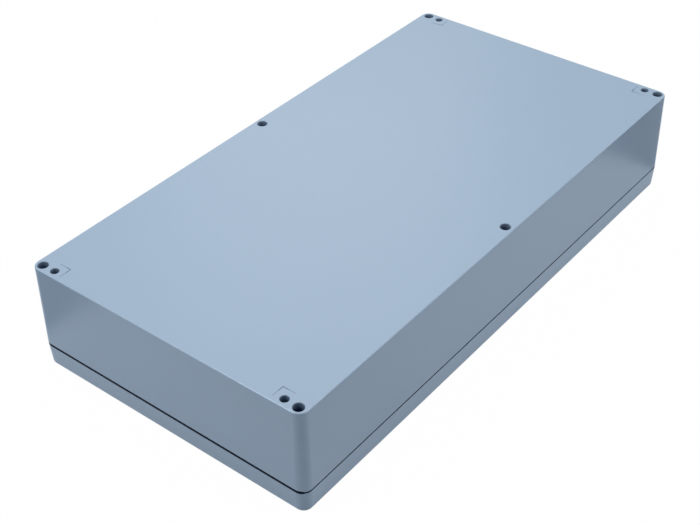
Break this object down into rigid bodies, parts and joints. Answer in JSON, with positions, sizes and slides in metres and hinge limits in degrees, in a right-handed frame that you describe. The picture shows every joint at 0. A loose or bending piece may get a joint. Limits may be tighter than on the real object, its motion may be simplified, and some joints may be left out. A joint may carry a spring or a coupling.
{
  "type": "die-cast aluminium enclosure",
  "caption": "Long flat die-cast aluminium enclosure lying on its screwed lid, with a sealed joint, blind corner holes and wall fixing holes in its flat back.",
  "frame": {"origin": "centre of the lid's outer face, which the box lies on", "axes": "+X along the length, +Y along the width, +Z from the lid's outer face towards the flat mounting face"},
  "size_m": [0.6, 0.31, 0.111],
  "materials": {
    "powder_coat": "silver grey powder coat, semi-matt with a fine even texture, on die-cast aluminium",
    "gasket_rubber": "black chloroprene, matt",
    "screw_steel": "stainless steel, turned, satin",
    "clip_nylon": "natural nylon",
    "spring_steel": "zinc plated spring steel",
    "terminal_brass": "plain brass, satin"
  },
  "bodies": {
    "enclosure": {"base_casting": "powder_coat", "lid_casting": "powder_coat", "lid_gasket": "gasket_rubber", "base_earth_screw": "terminal_brass", "base_earth_spring_washer": "spring_steel", "base_earth_clamp": "terminal_brass", "lid_earth_screw": "terminal_brass", "lid_earth_spring_washer": "spring_steel", "lid_earth_clamp": "terminal_brass"},
    "clip_1": {"screw_clip_1": "clip_nylon"},
    "screw_1": {"lid_screw_1": "screw_steel"},
    "clip_2": {"screw_clip_2": "clip_nylon"},
    "screw_2": {"lid_screw_2": "screw_steel"},
    "clip_3": {"screw_clip_3": "clip_nylon"},
    "screw_3": {"lid_screw_3": "screw_steel"},
    "clip_4": {"screw_clip_4": "clip_nylon"},
    "screw_4": {"lid_screw_4": "screw_steel"},
    "clip_5": {"screw_clip_5": "clip_nylon"},
    "screw_5": {"lid_screw_5": "screw_steel"},
    "clip_6": {"screw_clip_6": "clip_nylon"},
    "screw_6": {"lid_screw_6": "screw_steel"}
  },
  "joints": [
    {"name": "screw_1_travel", "type": "slide", "parent": "enclosure", "child": "clip_1", "axis": [0, 0, -1], "range_m": [0, 0.0095]},
    {"name": "screw_1_turn", "type": "hinge", "parent": "clip_1", "child": "screw_1", "pos_m": [-0.2915, -0.1455, 0.006], "axis": [0, 0, -1], "range_deg": [0, 3420]},
    {"name": "screw_2_travel", "type": "slide", "parent": "enclosure", "child": "clip_2", "axis": [0, 0, -1], "range_m": [0, 0.0095]},
    {"name": "screw_2_turn", "type": "hinge", "parent": "clip_2", "child": "screw_2", "pos_m": [-0.2915, 0.1455, 0.006], "axis": [0, 0, -1], "range_deg": [0, 3420]},
    {"name": "screw_3_travel", "type": "slide", "parent": "enclosure", "child": "clip_3", "axis": [0, 0, -1], "range_m": [0, 0.0095]},
    {"name": "screw_3_turn", "type": "hinge", "parent": "clip_3", "child": "screw_3", "pos_m": [0, -0.1455, 0.006], "axis": [0, 0, -1], "range_deg": [0, 3420]},
    {"name": "screw_4_travel", "type": "slide", "parent": "enclosure", "child": "clip_4", "axis": [0, 0, -1], "range_m": [0, 0.0095]},
    {"name": "screw_4_turn", "type": "hinge", "parent": "clip_4", "child": "screw_4", "pos_m": [0, 0.1455, 0.006], "axis": [0, 0, -1], "range_deg": [0, 3420]},
    {"name": "screw_5_travel", "type": "slide", "parent": "enclosure", "child": "clip_5", "axis": [0, 0, -1], "range_m": [0, 0.0095]},
    {"name": "screw_5_turn", "type": "hinge", "parent": "clip_5", "child": "screw_5", "pos_m": [0.2915, -0.1455, 0.006], "axis": [0, 0, -1], "range_deg": [0, 3420]},
    {"name": "screw_6_travel", "type": "slide", "parent": "enclosure", "child": "clip_6", "axis": [0, 0, -1], "range_m": [0, 0.0095]},
    {"name": "screw_6_turn", "type": "hinge", "parent": "clip_6", "child": "screw_6", "pos_m": [0.2915, 0.1455, 0.006], "axis": [0, 0, -1], "range_deg": [0, 3420]}
  ],
  "couplings": [
    {"joint": "screw_1_turn", "follows": "screw_1_travel", "rad_per_m": 6283.2},
    {"joint": "screw_2_turn", "follows": "screw_2_travel", "rad_per_m": 6283.2},
    {"joint": "screw_3_turn", "follows": "screw_3_travel", "rad_per_m": 6283.2},
    {"joint": "screw_4_turn", "follows": "screw_4_travel", "rad_per_m": 6283.2},
    {"joint": "screw_5_turn", "follows": "screw_5_travel", "rad_per_m": 6283.2},
    {"joint": "screw_6_turn", "follows": "screw_6_travel", "rad_per_m": 6283.2}
  ]
}
